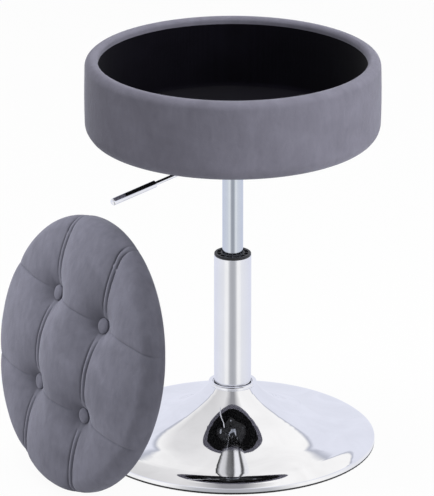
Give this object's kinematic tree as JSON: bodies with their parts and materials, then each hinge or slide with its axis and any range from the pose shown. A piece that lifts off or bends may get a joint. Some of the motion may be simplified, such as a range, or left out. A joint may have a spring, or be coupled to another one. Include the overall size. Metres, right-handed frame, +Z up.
{
  "type": "vanity stool with storage tray",
  "caption": "Round velvet storage stool: an open padded tray on a chrome gas lift and trumpet base, with a release lever and a tufted lift-off lid standing beside it.",
  "frame": {"origin": "on the floor under the middle of the column", "axes": "+Z up along the column, -Y to the front of the stool, +X to the right seen from the front"},
  "size_m": [0.5099, 0.5003, 0.544],
  "materials": {
    "chrome": "polished",
    "column_chrome": "polished",
    "tube_steel": "satin",
    "inner_steel": "satin",
    "plate_paint": "satin",
    "zinc": "satin",
    "black_plastic": "matte",
    "rubber": "matte",
    "plywood": "matte",
    "foam": "matte",
    "velvet": "matte",
    "lining": "matte",
    "dust_cloth": "matte",
    "twine": "matte"
  },
  "bodies": {
    "base": {"base_shell": "chrome", "floor_ring": "rubber", "hub_socket": "chrome", "hub_gussets": "inner_steel", "column_tube": "column_chrome", "guide_bush": "black_plastic", "bottom_plate": "inner_steel", "lower_race": "inner_steel"},
    "spindle": {"bearing_balls": "inner_steel", "upper_race": "inner_steel", "piston_rod": "inner_steel", "rod_clip": "zinc", "bump_stop": "rubber", "piston_head": "black_plastic"},
    "seat": {"pressure_tube": "tube_steel", "rod_guide": "black_plastic", "valve_body": "inner_steel", "taper_socket": "plate_paint", "seat_plate": "plate_paint", "lever_bracket": "plate_paint", "lever_pivot": "zinc", "plate_screws": "zinc", "tee_nuts": "zinc", "tray_base_board": "plywood", "tray_wall": "plywood", "tray_foam": "foam", "tray_cover": "velvet", "tray_lining": "lining", "bottom_cloth": "dust_cloth"},
    "lever": {"lever_rod": "chrome", "lever_grip": "chrome"},
    "pin": {"release_pin": "inner_steel"},
    "lid": {"lid_board": "plywood", "lid_locator": "plywood", "lid_underside_cloth": "dust_cloth", "lid_foam": "foam", "lid_cover": "velvet", "lid_buttons": "velvet", "button_ties": "twine"}
  },
  "joints": [
    {"name": "seat_swivel", "type": "hinge", "parent": "base", "child": "spindle", "pos_m": [0, 0, 0], "axis": [0, 0, 1], "continuous": true},
    {"name": "seat_lift", "type": "slide", "parent": "spindle", "child": "seat", "axis": [0, 0, 1], "range_m": [-0.1, 0]},
    {"name": "lever_pull", "type": "hinge", "parent": "seat", "child": "lever", "pos_m": [-0.02516, -0.01634, 0.40901], "axis": [-0.5446, 0.8387, 0], "range_deg": [0, 8], "stiffness_Nm_per_rad": 2, "springref_deg": -5.73},
    {"name": "pin_press", "type": "slide", "parent": "seat", "child": "pin", "axis": [0, 0, 1], "range_m": [-0.0045, 0]},
    {"name": "lid_carry", "type": "slide", "parent": "base", "child": "lid", "axis": [-0.8387, -0.5446, 0], "range_m": [0, 0.3]}
  ],
  "couplings": [
    {"joint": "pin_press", "follows": "lever_pull", "m_per_rad": -0.029851}
  ]
}
